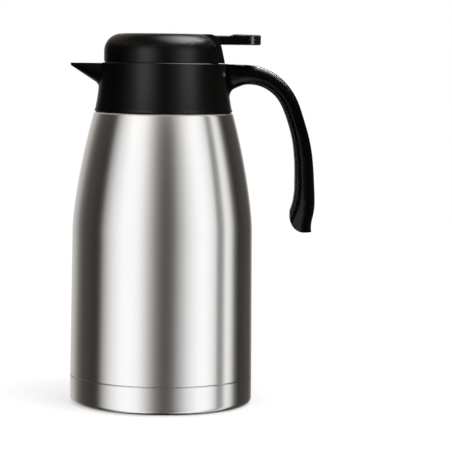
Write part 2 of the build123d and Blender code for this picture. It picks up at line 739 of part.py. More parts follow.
def make_lever():
    """Thumb lever: inverted channel, pivot ears, press rib over the valve cap."""
    bar = extrude(lever_side(), lever_pad_half_width + overcut, both=True)
    plan = Pos(0, 0, lever_bottom - lever_nose) * extrude(lever_plan(), lever_depth + 2 * lever_nose)
    lever = bar & plan
    top_rim = [e for e in lever.edges()
               if e.bounding_box().min.Z > lever_top - pick_slack and on_lever_rim(e)]
    lever = fillet(top_rim, lever_edge)
    low_edges = edges_in(lever, x=(-pivot_offset, inf),
                         z=(lever_bottom - pick_slack, lever_bottom + pick_slack))
    lever = fillet([e for e in low_edges if on_lever_rim(e)], lever_foot_edge)
    roof = lever_top - lever_wall
    inner_front = -pivot_offset + lever_nose + lever_wall
    inner_half = lever_half_width - lever_wall
    lever -= block((inner_front, lever_reach - 2 * lever_wall), inner_half,
                   (lever_bottom - lever_nose, roof))
    rib_bottom = cap_top + cap_lever_gap
    rib = block((-rib_half_length, rib_half_length), inner_half, (rib_bottom, roof))
    rib_foot = edges_in(rib, z=(rib_bottom - pick_slack, rib_bottom + pick_slack))
    rib = fillet(rib_foot.filter_by(Axis.Y), rib_round)
    lever += rib
    lever -= rod((-pivot_offset, -lever_half_width - overcut, pivot_height), (0, 1, 0),
                 pin_radius + pin_running_fit, 2 * (lever_half_width + overcut))
    return lever


def make_lever_pin():
    """Steel pivot pin, held in the slot's walls."""
    half = slot_half_width + slot_wall - pin_inset
    pin = rod((-pivot_offset, -half, pivot_height), (0, 1, 0), pin_radius, 2 * half)
    ends = [e for e in pin.edges() if abs(abs(e.center().Y) - half) < pick_slack]
    return chamfer(ends, pin_radius / 5)


# ---- Valve ------------------------------------------------------------------
def make_valve_stem():
    """Steel stem with its O-ring groove."""
    stem = ring(0, stem_radius, stem_bottom, cap_bottom + stem_in_cap)
    middle = deck_top - oring_drop
    groove = oring_wire / 2 + sheet_clearance
    stem -= ring(stem_radius - oring_depth, stem_radius + overcut, middle - groove, middle + groove)
    return stem


def make_stem_oring():
    """Soft ring that seals the stem in its guide."""
    middle = deck_top - oring_drop
    inner = stem_radius - oring_depth
    outer, half = stem_radius + gasket_clearance / 2, oring_wire / 2
    face = outline((inner, middle - half), (outer - half, middle - half), (outer, middle),
                   (outer - half, middle + half), (inner, middle + half))
    return turned(face)


def make_valve_disc():
    """Disc with a hub and a raised rim that carries the seal."""
    hub = stem_radius + stem_running_fit
    face = outline((hub, disc_bottom), (disc_hub_radius, disc_bottom),
                   (disc_radius, disc_top - disc_thickness / 2), (disc_radius, disc_top),
                   (hub, disc_top))
    return turned(face)


def make_valve_seal():
    """Silicone washer pressed against the seat when the valve is shut."""
    outer = disc_radius + seal_overhang
    face = outline((stem_radius + stem_running_fit, disc_top), (outer, disc_top),
                   (outer, seal_top - seal_thickness / 3), (outer - seal_thickness / 3, seal_top),
                   (stem_radius + stem_running_fit, seal_top))
    return turned(face)


def make_valve_nut():
    """Hexagon nut under the disc."""
    hexagon = extrude(RegularPolygon(valve_nut_across / 2, 6, major_radius=False), valve_nut_height)
    nut = Pos(0, 0, disc_bottom - valve_nut_height) * hexagon
    return nut - ring(0, stem_radius + stem_running_fit, stem_bottom, disc_bottom)


def make_stem_cap():
    """Cap on the stem: the lever presses its crown, the spring its underside."""
    face = outline((0, cap_bottom), (cap_radius, cap_bottom), (cap_radius, cap_top - cap_crown),
                   (cap_radius - cap_bevel, cap_top), (0, cap_top))
    cap = turned(face)
    return cap - ring(0, stem_radius + stem_running_fit / 4, cap_bottom - overcut,
                      cap_bottom + stem_in_cap)


def make_valve_spring():
    """Open coil of square wire round the guide, between the deck and the cap."""
    low, high = deck_top + spring_wire / 2, cap_bottom - spring_wire / 2
    path = Pos(0, 0, low) * Helix((high - low) / spring_turns, high - low, spring_radius)
    start = Plane(origin=path @ 0, x_dir=(1, 0, 0), z_dir=path % 0)
    side = spring_wire - 2 * gasket_clearance
    return sweep(start * Rectangle(side, side), path=path, is_frenet=True)


# ---- Output -----------------------------------------------------------------
makers = {
    "base_cup": make_base_cup,
    "outer_shell": make_outer_shell,
    "inner_flask": make_inner_flask,
    "vacuum_bottom": make_vacuum_bottom,
    "seal_plug": make_seal_plug,
    "getter": make_getter,
    "neck_nut": make_neck_nut,
    "mouth_gasket": make_mouth_gasket,
    "collar": make_collar,
    "handle_shell": make_handle_shell,
    "handle_cover": make_handle_cover,
    "handle_screws": make_handle_screws,
    "stopper_body": make_stopper_body,
    "stopper_gasket": make_stopper_gasket,
    "lid_dome": make_lid_dome,
    "lever": make_lever,
    "lever_pin": make_lever_pin,
    "valve_stem": make_valve_stem,
    "stem_oring": make_stem_oring,
    "valve_disc": make_valve_disc,
    "valve_seal": make_valve_seal,
    "valve_nut": make_valve_nut,
    "stem_cap": make_stem_cap,
    "valve_spring": make_valve_spring,
}

os.makedirs("parts", exist_ok=True)
for node, make in makers.items():
    export_step(make(), f"parts/{node}.step")
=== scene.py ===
import math

import bpy
import numpy as np
from mathutils import Matrix, Vector


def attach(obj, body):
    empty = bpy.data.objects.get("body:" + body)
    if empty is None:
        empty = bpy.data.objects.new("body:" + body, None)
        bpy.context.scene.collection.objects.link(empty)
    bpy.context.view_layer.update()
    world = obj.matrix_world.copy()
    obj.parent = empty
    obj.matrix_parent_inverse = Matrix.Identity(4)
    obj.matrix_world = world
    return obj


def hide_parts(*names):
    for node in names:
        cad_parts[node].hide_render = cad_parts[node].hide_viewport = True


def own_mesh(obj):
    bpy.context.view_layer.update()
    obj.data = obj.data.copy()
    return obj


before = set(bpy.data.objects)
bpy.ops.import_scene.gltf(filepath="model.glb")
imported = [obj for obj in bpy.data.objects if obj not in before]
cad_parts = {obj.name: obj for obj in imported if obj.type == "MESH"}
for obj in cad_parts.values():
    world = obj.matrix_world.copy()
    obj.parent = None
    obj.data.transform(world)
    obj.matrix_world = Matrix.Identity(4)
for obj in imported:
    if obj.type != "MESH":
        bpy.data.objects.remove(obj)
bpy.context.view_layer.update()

# ---- Camera ------------------------------------------------------------------
# A long lens about a metre and a half away, level with the collar's rim, so the
# rim and the seams are nearly straight lines and the lid's top isn't seen.
camera_place = Vector((0.0499, -1.5362, 0.2630))
camera_yaw = math.radians(-0.027)
camera_pitch = math.radians(-4.683)
camera_roll = math.radians(0.736)
lens_over_frame = 4.4135

ahead = Vector((math.sin(camera_yaw) * math.cos(camera_pitch),
                math.cos(camera_yaw) * math.cos(camera_pitch), math.sin(camera_pitch)))
level_right = Vector((math.cos(camera_yaw), -math.sin(camera_yaw), 0.0))
level_up = level_right.cross(ahead)
right = level_right * math.cos(camera_roll) + level_up * math.sin(camera_roll)
up = level_up * math.cos(camera_roll) - level_right * math.sin(camera_roll)
camera_data = bpy.data.cameras.new("camera")
camera_data.sensor_width = 36.0
camera_data.lens = camera_data.sensor_width * lens_over_frame
camera = bpy.data.objects.new("camera", camera_data)
camera.matrix_world = (Matrix.Translation(camera_place)
                       @ Matrix((right, up, -ahead)).transposed().to_4x4())
bpy.context.scene.collection.objects.link(camera)
bpy.context.scene.camera = camera
bpy.context.scene.view_settings.view_transform = "Standard"


# ---- Floor -------------------------------------------------------------------
# Plain white paper.  What the camera sees of it is lifted a little, so that it
# ends white and keeps only the shadow close under the base.  Glossy surfaces
# don't see it.
floor_half = 4.0
floor_colour = (0.86, 0.86, 0.86, 1)
floor_lift = 0.32


def new_tree(owner, output_kind="ShaderNodeOutputMaterial"):
    """Empties the node tree of a material or world; returns it with its output."""
    owner.use_nodes = True
    tree = owner.node_tree
    tree.nodes.clear()
    return tree, tree.nodes.new(output_kind)


def put(tree, kind, **values):
    """Adds a node.  A value goes to the socket of that name, with _ for a space: a node
    or a socket is linked to it, and anything else becomes its default."""
    node = tree.nodes.new("ShaderNode" + kind)
    for name, value in values.items():
        if hasattr(node, name):
            setattr(node, name, value)
            continue
        slot = int(name[1:]) if name[1:].isdigit() else name.replace("_", " ")
        if isinstance(value, bpy.types.Node):
            value = value.outputs[0]
        if isinstance(value, bpy.types.NodeSocket):
            tree.links.new(value, node.inputs[slot])
        else:
            node.inputs[slot].default_value = value
    return node


def grid_mesh(name, points, close_u=False, close_v=False):
    """Mesh of a (rows, columns, 3) array, one quad for each cell.  It faces the way of
    (column direction) x (row direction)."""
    rows, columns = points.shape[:2]
    index = np.arange(rows * columns).reshape(rows, columns)
    if close_v:
        index = np.vstack([index, index[:1]])
    if close_u:
        index = np.hstack([index, index[:, :1]])
    quads = np.stack([index[:-1, :-1], index[:-1, 1:], index[1:, 1:], index[1:, :-1]], -1)
    mesh = bpy.data.meshes.new(name)
    mesh.from_pydata(points.reshape(-1, 3).tolist(), [], quads.reshape(-1, 4).tolist())
    mesh.shade_smooth()
    return mesh


def add_piece(name, mesh, material):
    """Links an object for a mesh into the scene, with its material."""
    piece = bpy.data.objects.new(name, mesh)
    bpy.context.scene.collection.objects.link(piece)
    mesh.materials.append(material)
    return piece


def seen_directly(tree):
    """1 for a ray from the camera, or on through something clear, and otherwise 0."""
    path = put(tree, "LightPath")
    return put(tree, "Math", operation="MAXIMUM", _0=path.outputs["Is Camera Ray"],
               _1=path.outputs["Is Transmission Ray"])


paper_material = bpy.data.materials.new("floor_paper")
tree, output = new_tree(paper_material)
paper = put(tree, "BsdfDiffuse", Color=floor_colour)
lifted = put(tree, "AddShader", _0=paper, _1=put(tree, "Emission", Strength=floor_lift))
shown = put(tree, "MixShader", _0=seen_directly(tree), _1=paper, _2=lifted)
tree.links.new(shown.outputs[0], output.inputs[0])
side = np.linspace(-floor_half, floor_half, 2)
floor_x, floor_y = np.meshgrid(side, side)
floor = add_piece("floor", grid_mesh("floor", np.stack([floor_x, floor_y, 0 * floor_x], -1)),
                  paper_material)
floor.visible_glossy = False

# ---- Studio cards ------------------------------------------------------------
# Pale cards and dark felt stand in rings round the object, with a glowing sheet
# over each, and only glossy surfaces see them.  Steel, lid with collar, handle
# and lever have sets of their own.  The rings run on below the floor, so that
# reflections stay whole from high up too.
ring_bottom = -2.0
ring_top = 1.5
ring_steps = 96
sheet_half = 2.5
felt_tint = (1.0, 0.90, 0.81)   # dark cards glow warm, the brightest ones white
# Angle from the camera towards its right, in degrees, and the glow there.
steel_ring = [
    (-180, 0.95), (-138, 0.60), (-124, 0.22), (-112, 0.10),               # pale wall behind
    (-88, 0.05), (-81, 0.10),                                             # felt on the left
    (-73, 0.66), (-62, 1.20), (-48, 1.56), (-35, 1.56), (-26, 1.42),      # card on the left
    (-16, 0.88), (-6, 0.36), (1, 0.18), (8, 0.14), (15, 0.22),            # felt by the camera
    (25, 0.70), (36, 1.22), (48, 1.54), (57, 1.58), (65, 1.40),           # card on the right
    (71, 1.15), (76, 0.36), (82, 0.46), (89, 1.40), (97, 1.10),           # gap and strip
    (105, 0.20), (113, 0.05), (150, 0.12),                                # felt on the right
]
lid_ring = [
    (-180, 0.80), (-155, 0.30), (-135, 0.03), (-90, 0.03),                # felt on the left
    (-70, 0.12), (-54, 0.50), (-42, 1.45), (-32, 2.00), (-22, 1.30),      # card on the left
    (-9, 0.42), (0, 0.15), (10, 0.14), (24, 0.55), (40, 1.60),            # card on the right
    (52, 1.62), (64, 0.55), (76, 0.18), (95, 0.08), (150, 0.05), (168, 0.60),
]
lever_ring = [
    (-180, 0.60), (-150, 0.10), (-20, 0.02), (14, 0.05), (23, 9.00),      # narrow strip, right
    (34, 9.00), (44, 0.10), (80, 0.30), (150, 0.10),
]
handle_ring = [
    (-180, 0.60), (-150, 0.10), (-14, 0.03), (0, 0.25), (12, 1.90),       # strip by the camera
    (24, 0.25), (38, 0.03), (150, 0.10),
]


def glowing_sheet(name, points, light, close_u=False):
    """Sheet whose glow is worked out by light(tree, place) from the Object coordinates
    as a value.  It is clear, so that each part's rays pass the other parts' sheets."""
    material = bpy.data.materials.new(name)
    tree, output = new_tree(material)
    place = put(tree, "TexCoord").outputs["Object"]
    level = light(tree, put(tree, "SeparateXYZ", _0=place))
    tint = put(tree, "MapRange", data_type="FLOAT_VECTOR", Vector=level, From_Min=(0, 0, 0),
               From_Max=(1, 1, 1))
    tint.inputs["To Min"].default_value = felt_tint
    tint.inputs["To Max"].default_value = (1, 1, 1)
    emission = put(tree, "Emission", Color=tint.outputs["Vector"], Strength=level)
    clear = put(tree, "BsdfTransparent")
    tree.links.new(put(tree, "AddShader", _0=emission, _1=clear).outputs[0], output.inputs[0])
    return add_piece(name, grid_mesh(name, points, close_u=close_u), material)


def card_ring(name, radius, stops, fade, above):
    """Ring of cards.  Its glow goes by the angle, through a ramp, and between the two
    heights of fade it turns into the even level above."""
    top_level = max(level for _, level in stops)

    def light(tree, place):
        front = put(tree, "Math", operation="MULTIPLY", _0=place.outputs["Y"], _1=-1.0)
        angle = put(tree, "Math", operation="ARCTAN2", _0=place.outputs["X"], _1=front)
        turn = put(tree, "MapRange", Value=angle, From_Min=-math.pi, From_Max=math.pi)
        around = put(tree, "ValToRGB", Fac=turn)
        ramp = around.color_ramp
        ramp.elements.remove(ramp.elements[0])
        for degrees, level in stops:
            share = level / top_level
            ramp.elements.new((degrees + 180) / 360).color = (share, share, share, 1)
        ramp.elements[-1].color = ramp.elements[0].color
        level = put(tree, "Math", operation="MULTIPLY", _0=around, _1=top_level)
        fading = put(tree, "MapRange", Value=place.outputs["Z"], From_Min=fade[0],
                     From_Max=fade[1], interpolation_type="SMOOTHSTEP")
        return put(tree, "Mix", Factor=fading, A=level, B=above).outputs[0]

    turn = np.linspace(0, 2 * np.pi, ring_steps, endpoint=False)[None, :]
    rise = np.array([[ring_top], [ring_bottom]])
    points = np.stack([radius * np.cos(turn) + 0 * rise, radius * np.sin(turn) + 0 * rise,
                       rise + 0 * turn], -1)
    return glowing_sheet(name, points, light, close_u=True)


def overhead(name, height, above, place, half, patch):
    """Sheet overhead, with a patch whose glow falls off to the level above at an
    ellipse's edge, as a smooth step of the share of its half axes."""

    def light(tree, spot):
        across = put(tree, "Math", operation="SUBTRACT", _0=spot.outputs["X"], _1=place[0])
        across = put(tree, "Math", operation="DIVIDE", _0=across, _1=half[0])
        along = put(tree, "Math", operation="SUBTRACT", _0=spot.outputs["Y"], _1=place[1])
        along = put(tree, "Math", operation="DIVIDE", _0=along, _1=half[1])
        apart = put(tree, "VectorMath", operation="LENGTH",
                    _0=put(tree, "CombineXYZ", X=across, Y=along))
        return put(tree, "MapRange", Value=apart.outputs["Value"], From_Min=1.0, From_Max=0.0,
                   To_Min=above, To_Max=patch, interpolation_type="SMOOTHSTEP").outputs[0]

    side = np.linspace(-sheet_half, sheet_half, 2)
    x, y = np.meshgrid(side, side[::-1])
    return glowing_sheet(name, np.stack([x, y, height + 0 * x], -1), light)


def light_only(sheets, names, state):
    """Hides sheets from all but glossy rays.  They light the named nodes alone, or with
    EXCLUDE all but those."""
    group = bpy.data.collections.new("lit_by_" + sheets[0].name)
    for name in names:
        group.objects.link(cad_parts[name])
    for member in group.collection_objects:
        member.light_linking.link_state = state
    for sheet in sheets:
        sheet.visible_camera = False
        sheet.visible_diffuse = False
        sheet.visible_transmission = False
        sheet.visible_volume_scatter = False
        sheet.visible_shadow = False
        sheet.light_linking.receiver_collection = group


lid_pieces = ["collar", "lid_dome", "stopper_body", "neck_nut", "stem_cap", "valve_disc"]
handle_pieces = ["handle_shell", "handle_cover"]
lid_cards = card_ring("lid_cards", radius=1.00, stops=lid_ring, fade=(0.25, 1.10), above=0.15)
lid_overhead = overhead("lid_overhead", height=1.50, above=0.15, place=(0.65, 0.0),
                        half=(0.95, 1.25), patch=10.5)
light_only([lid_cards, lid_overhead], lid_pieces, "INCLUDE")
handle_cards = card_ring("handle_cards", radius=1.02, stops=handle_ring, fade=(0.17, 0.24),
                         above=0.04)
handle_overhead = overhead("handle_overhead", height=1.52, above=0.04, place=(0.35, 1.10),
                           half=(1.60, 1.50), patch=9.0)
light_only([handle_cards, handle_overhead], handle_pieces, "INCLUDE")
lever_cards = card_ring("lever_cards", radius=1.06, stops=lever_ring, fade=(0.60, 1.45),
                        above=2.00)
lever_overhead = overhead("lever_overhead", height=1.56, above=2.00, place=(0.30, -0.10),
                          half=(1.20, 1.20), patch=6.00)
light_only([lever_cards, lever_overhead], ["lever"], "INCLUDE")
steel_cards = card_ring("steel_cards", radius=1.04, stops=steel_ring, fade=(0.45, 1.60),
                        above=0.30)
steel_overhead = overhead("steel_overhead", height=1.54, above=0.30, place=(0.0, 0.0),
                          half=(1.0, 1.0), patch=0.30)
light_only([steel_cards, steel_overhead], lid_pieces + handle_pieces + ["lever"], "EXCLUDE")

# ---- Room light --------------------------------------------------------------
# The room is even and pale, with one weak soft lamp from above for the shadow
# under the base.  The backdrop is pure white, and glossy surfaces see black
# behind the cards.
room_level = 0.80
lamp_place = (0.45, -0.35, 1.40)
lamp_target = (0.0, 0.0, 0.15)
lamp_size = 0.8
lamp_power = 4.0

world = bpy.data.worlds.new("room")
bpy.context.scene.world = world
tree, output = new_tree(world, "ShaderNodeOutputWorld")
ambient = put(tree, "Background", Color=(room_level, room_level, room_level, 1))
dark = put(tree, "Background", Color=(0, 0, 0, 1))
backdrop = put(tree, "Background", Color=(1, 1, 1, 1))
glossy_ray = put(tree, "LightPath").outputs["Is Glossy Ray"]
room = put(tree, "MixShader", _0=glossy_ray, _1=ambient, _2=dark)
shown = put(tree, "MixShader", _0=seen_directly(tree), _1=room, _2=backdrop)
tree.links.new(shown.outputs[0], output.inputs[0])
lamp_data = bpy.data.lights.new("soft_lamp", "AREA")
lamp_data.shape = "DISK"
lamp_data.size = lamp_size
lamp_data.energy = lamp_power
lamp = bpy.data.objects.new("soft_lamp", lamp_data)
aim = (Vector(lamp_target) - Vector(lamp_place)).to_track_quat("-Z", "Y")
lamp.matrix_world = Matrix.Translation(lamp_place) @ aim.to_matrix().to_4x4()
lamp.visible_glossy = False
bpy.context.scene.collection.objects.link(lamp)

# ---- Outer shell -------------------------------------------------------------
# One drawn sheet of stainless steel: a nearly straight wall that tucks into the
# base cup and leans in to the neck.  It is ground round and round with a fine
# belt, so the lines run level, and left bare.
mm = 0.001
micron = 0.000001
shell_foot = 22.0 * mm
tuck_radius = 69.45 * mm
tuck_bottom = 5.0 * mm
body_radius = 70.4 * mm
body_taper = 1.1 * mm
shoulder_start = 133.0 * mm
shoulder_end = np.array([53.3, 224.2]) * mm
shoulder_lean = math.radians(15.9)
shoulder_pulls = (20.0 * mm, 30.0 * mm)
shoulder_cap_rise = 1.4 * mm
neck_outer = 43.5 * mm
neck_top = 245.2 * mm
shell_wall = 0.8 * mm
shell_foot_roll = 0.35 * mm
shoulder_roll = 1.4 * mm
neck_roll = 1.0 * mm
shoulder_steps = 40
shell_spacing = 2.5 * mm
shell_segments = 256
steel_colour = (0.615, 0.615, 0.615)
grind_stretch = 0.75
grind_gloss_swing = 0.06
grind_middle = 1.25             # mean of the lines and the slow changes together


def bezier(start, start_pull, end_pull, end, steps):
    """Cubic curve (1-t)^3 a + 3t(1-t)^2 b + 3t^2(1-t) c + t^3 d at even t."""
    t = np.linspace(0, 1, steps)[:, None]
    return ((1 - t) ** 3 * start + 3 * t * (1 - t) ** 2 * start_pull
            + 3 * t ** 2 * (1 - t) * end_pull + t ** 3 * end)


def softened(corners, setback, steps=5):
    """Closed line through corners, each crossed by the parabola
    (1-t)^2 a + 2t(1-t) corner + t^2 b, with a and b a setback before and after it."""
    corners = np.asarray(corners, float)
    setback = np.broadcast_to(setback, len(corners))[:, None]
    before = np.roll(corners, 1, 0) - corners
    after = np.roll(corners, -1, 0) - corners
    a = corners + before / np.linalg.norm(before, axis=1, keepdims=True) * setback
    b = corners + after / np.linalg.norm(after, axis=1, keepdims=True) * setback
    t = np.linspace(0, 1, steps)[None, :, None]
    line = (1 - t) ** 2 * a[:, None] + 2 * t * (1 - t) * corners[:, None] + t ** 2 * b[:, None]
    line = line.reshape(-1, 2)
    apart = np.linalg.norm(line - np.roll(line, 1, 0), axis=1)
    return line[apart > 1e-7]


def spaced(line, step):
    """The same closed line with points added, so that no stretch exceeds the step."""
    closed = np.vstack([line, line[:1]])
    length = np.r_[0, np.cumsum(np.linalg.norm(np.diff(closed, axis=0), axis=1))]
    places = np.sort(np.r_[length[:-1], np.arange(step / 2, length[-1], step)])
    places = places[np.r_[True, np.diff(places) > step / 20]]
    return np.stack([np.interp(places, length, closed[:, k]) for k in (0, 1)], -1)


def turned_mesh(name, profile, segments):
    """Surface of revolution: a profile point (r, z) goes to (r cos a, r sin a, z) for
    every angle a.  The closed profile climbs on its outer side."""
    a = np.linspace(0, 2 * np.pi, segments, endpoint=False)[None, :]
    r, z = profile[:, :1], profile[:, 1:]
    points = np.stack([r * np.cos(a), r * np.sin(a), z + 0 * a], -1)
    return grid_mesh(name, points, close_u=True, close_v=True)


def effect_group(name, inputs, outputs):
    """New shader node group: inputs as name: default, outputs as names of values."""
    group = bpy.data.node_groups.new(name, "ShaderNodeTree")
    for label, value in inputs.items():
        socket = group.interface.new_socket(label, in_out="INPUT", socket_type="NodeSocketFloat")
        socket.default_value = value
    for label in outputs:
        group.interface.new_socket(label, in_out="OUTPUT", socket_type="NodeSocketFloat")
    return group, group.nodes.new("NodeGroupInput"), group.nodes.new("NodeGroupOutput")


def use_group(tree, group, **values):
    """Places an effect group in a material, with its own input values."""
    node = tree.nodes.new("ShaderNodeGroup")
    node.node_tree = group
    for name, value in values.items():
        node.inputs[name.replace("_", " ")].default_value = value
    return node


def noise(tree, scale, detail=2.0, roughness=0.5, stretch=(1, 1, 1)):
    """Noise on Object coordinates, which are first multiplied by stretch along each axis.
    The scale counts cells per metre."""
    place = put(tree, "Mapping", _0=put(tree, "TexCoord").outputs["Object"], Scale=stretch)
    return put(tree, "TexNoise", Vector=place, Scale=scale, Detail=detail, Roughness=roughness)


# Belt grinding: hair-fine level lines, a few coarser ones, and slow changes of
# gloss where the belt was pressed harder.
level_grind, given, wanted = effect_group(
    "level_grind", {"Fine Lines": 1.0, "Coarse Lines": 0.5}, ("Height", "Gloss Shift"))
fine = noise(level_grind, 1.0, detail=3.0, roughness=0.6, stretch=(9, 9, 5200))
coarse = noise(level_grind, 1.0, stretch=(4, 4, 1100))
slow = noise(level_grind, 22.0, stretch=(1, 1, 2.5))
fine_part = put(level_grind, "Math", operation="MULTIPLY", _0=fine, _1=given.outputs[0])
coarse_part = put(level_grind, "Math", operation="MULTIPLY", _0=coarse, _1=given.outputs[1])
lines = put(level_grind, "Math", operation="ADD", _0=fine_part, _1=coarse_part)
both = put(level_grind, "Math", operation="ADD", _0=lines, _1=slow)
level_grind.links.new(lines.outputs[0], wanted.inputs["Height"])
centred = put(level_grind, "Math", operation="SUBTRACT", _0=both, _1=grind_middle)
level_grind.links.new(centred.outputs[0], wanted.inputs["Gloss Shift"])


def finish(name, colour, roughness, metallic=0.0, specular=0.5):
    """Material with one Principled BSDF; the tree and the shader are given back."""
    material = bpy.data.materials.new(name)
    tree, output = new_tree(material)
    shader = tree.nodes.new("ShaderNodeBsdfPrincipled")
    shader.inputs["Base Color"].default_value = (*colour, 1)
    shader.inputs["Roughness"].default_value = roughness
    shader.inputs["Metallic"].default_value = metallic
    shader.inputs["Specular IOR Level"].default_value = specular
    tree.links.new(shader.outputs[0], output.inputs["Surface"])
    return material, tree, shader


def vary_roughness(tree, shader, value, middle, amount):
    """Roughness = middle + amount x value, where the value swings about zero."""
    varied = put(tree, "Math", operation="MULTIPLY_ADD", _0=value, _1=amount, _2=middle)
    tree.links.new(varied.outputs[0], shader.inputs["Roughness"])


def raise_grain(tree, shader, height, depth):
    """Bump that feeds the shader's normal; depth is the real depth in metres."""
    bump = put(tree, "Bump", Strength=1.0, Distance=depth, Height=height)
    tree.links.new(bump.outputs[0], shader.inputs["Normal"])


def ground_steel(name, roughness, depth):
    """Level-ground stainless steel: its gloss is drawn out across the lines."""
    material, tree, shader = finish(name, steel_colour, roughness, 1.0)
    shader.inputs["Anisotropic"].default_value = grind_stretch
    tree.links.new(put(tree, "CombineXYZ", Z=1.0).outputs[0], shader.inputs["Tangent"])
    grind = use_group(tree, level_grind)
    vary_roughness(tree, shader, grind.outputs["Gloss Shift"], roughness, grind_gloss_swing)
    raise_grain(tree, shader, grind.outputs["Height"], depth)
    return material


lean_in = np.array([math.sin(shoulder_lean), -math.cos(shoulder_lean)])
wall_top = np.array([body_radius - body_taper, shoulder_start])
wall_way = np.array([-body_taper / shoulder_start, 1.0])
shoulder = bezier(wall_top, wall_top + shoulder_pulls[0] * wall_way,
                  shoulder_end + shoulder_pulls[1] * lean_in, shoulder_end, shoulder_steps)
outside = np.vstack([[tuck_radius, tuck_bottom], [tuck_radius, shell_foot],
                     [body_radius, shell_foot], shoulder,
                     [neck_outer, shoulder_end[1] + shoulder_cap_rise], [neck_outer, neck_top]])
inside = outside[::-1] - np.array([shell_wall, 0.0])
inside[0, 1] = outside[-1, 1]
# Three corners are rolled: over the tuck, at the shoulder's end, and under the neck.
setback = np.zeros(2 * len(outside))
setback[2] = shell_foot_roll
setback[len(outside) - 3] = shoulder_roll
setback[len(outside) - 2] = neck_roll
shell_line = spaced(softened(np.vstack([outside, inside]), setback), shell_spacing)
shell_mesh = turned_mesh("shell_sheet", shell_line, shell_segments)
shell_steel = ground_steel("shell_steel", roughness=0.19, depth=4 * micron)
shell = add_piece("shell_sheet", shell_mesh, shell_steel)
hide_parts("outer_shell")
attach(shell, "bottle")

# ---- Base cup ----------------------------------------------------------------
# A shallow pressed cup of the same steel, pushed over the shell's tucked end.
# Its foot is flat with a stiffening ring, and it is ground a little coarser.


def dress(node, material):
    """Gives a CAD node its finish."""
    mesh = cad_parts[node].data
    mesh.materials.clear()
    mesh.materials.append(material)


dress("base_cup", ground_steel("base_steel", roughness=0.21, depth=6 * micron))

# ---- Flask and vacuum space --------------------------------------------------
# The inner flask is drawn from thinner steel and polished bright by acid, not by
# a belt.  A disc of plain rolled sheet closes the vacuum space.  A bead of glass
# seals its pump-out hole, and a pellet of sintered metal keeps the vacuum hard.
flask_roughness = 0.24
flask_gloss_swing = 0.10
noise_middle = 0.5

flask_steel, tree, shader = finish("flask_steel", (0.62, 0.615, 0.61), flask_roughness,
                                   metallic=1.0)
pickled = noise(tree, 900, detail=3.0, roughness=0.6)
pickled_shift = put(tree, "Math", operation="SUBTRACT", _0=pickled, _1=noise_middle)
vary_roughness(tree, shader, pickled_shift, flask_roughness, flask_gloss_swing)
raise_grain(tree, shader, pickled, 8 * micron)
dress("inner_flask", flask_steel)

rolled_steel, tree, shader = finish("rolled_steel", (0.55, 0.55, 0.55), 0.35, metallic=1.0)
raise_grain(tree, shader, noise(tree, 1.0, stretch=(2500, 40, 40)), 6 * micron)
dress("vacuum_bottom", rolled_steel)

seal_glass, tree, shader = finish("seal_glass", (0.05, 0.035, 0.02), 0.12, specular=0.6)
raise_grain(tree, shader, noise(tree, 1500), 20 * micron)
dress("seal_plug", seal_glass)

getter_metal, tree, shader = finish("getter_metal", (0.30, 0.29, 0.28), 0.55, metallic=1.0)
raise_grain(tree, shader, noise(tree, 4000, detail=3.0), 30 * micron)
dress("getter", getter_metal)

# ---- Collar and neck nut -----------------------------------------------------
# The collar with its spout is injection-moulded black polypropylene, pushed over
# the neck and clamped from above by a ring nut.  The mould gives it a very fine
# satin grain, and it draws in slightly where its walls are thick.
plastic_colour = (0.0008, 0.0008, 0.0008)
plastic_specular = 0.31
plastic_gloss_swing = 0.08
flow_share = 2.0                # height of the slow draw beside the grain's
dust_colour = (0.25, 0.24, 0.22)
dust_slope = (0.6, 1.0)         # upward part of the normal where dust begins and is full
dust_patches = (0.55, 0.75)     # noise values between which a patch builds up

moulded_grain, given, wanted = effect_group(
    "moulded_grain", {"Grain": 1.0, "Flow": 1.0}, ("Height", "Gloss Shift"))
grain = put(moulded_grain, "Math", operation="MULTIPLY", _0=noise(moulded_grain, 5200),
            _1=given.outputs[0])
flow = put(moulded_grain, "Math", operation="MULTIPLY", _0=noise(moulded_grain, 55),
           _1=given.outputs[1])
height = put(moulded_grain, "Math", operation="MULTIPLY_ADD", _0=flow, _1=flow_share, _2=grain)
moulded_grain.links.new(height.outputs[0], wanted.inputs["Height"])
gloss = put(moulded_grain, "Math", operation="SUBTRACT", _0=flow, _1=noise_middle)
moulded_grain.links.new(gloss.outputs[0], wanted.inputs["Gloss Shift"])

# Dust settles on what faces up, in loose patches.
settled_dust, given, wanted = effect_group("settled_dust", {"Amount": 0.2}, ("Mask",))
normal = put(settled_dust, "NewGeometry").outputs["Normal"]
upward = put(settled_dust, "SeparateXYZ", _0=normal).outputs["Z"]
faces_up = put(settled_dust, "MapRange", Value=upward, From_Min=dust_slope[0],
               From_Max=dust_slope[1])
specks = put(settled_dust, "MapRange", Value=noise(settled_dust, 900, detail=4.0, roughness=0.7),
             From_Min=dust_patches[0], From_Max=dust_patches[1])
film = put(settled_dust, "Math", operation="MULTIPLY", _0=faces_up, _1=specks)
film = put(settled_dust, "Math", operation="MULTIPLY", _0=film, _1=given.outputs[0])
settled_dust.links.new(film.outputs[0], wanted.inputs["Mask"])


def black_moulding(name, roughness, grain_depth, dust=0.03):
    """Black satin polypropylene with moulded grain and a trace of dust."""
    material, tree, shader = finish(name, plastic_colour, roughness, specular=plastic_specular)
    surface = use_group(tree, moulded_grain)
    vary_roughness(tree, shader, surface.outputs["Gloss Shift"], roughness, plastic_gloss_swing)
    raise_grain(tree, shader, surface.outputs["Height"], grain_depth)
    tint = put(tree, "Mix", data_type="RGBA", Factor=use_group(tree, settled_dust, Amount=dust))
    tint.inputs["A"].default_value = (*plastic_colour, 1)
    tint.inputs["B"].default_value = (*dust_colour, 1)
    tree.links.new(tint.outputs["Result"], shader.inputs["Base Color"])
    return material


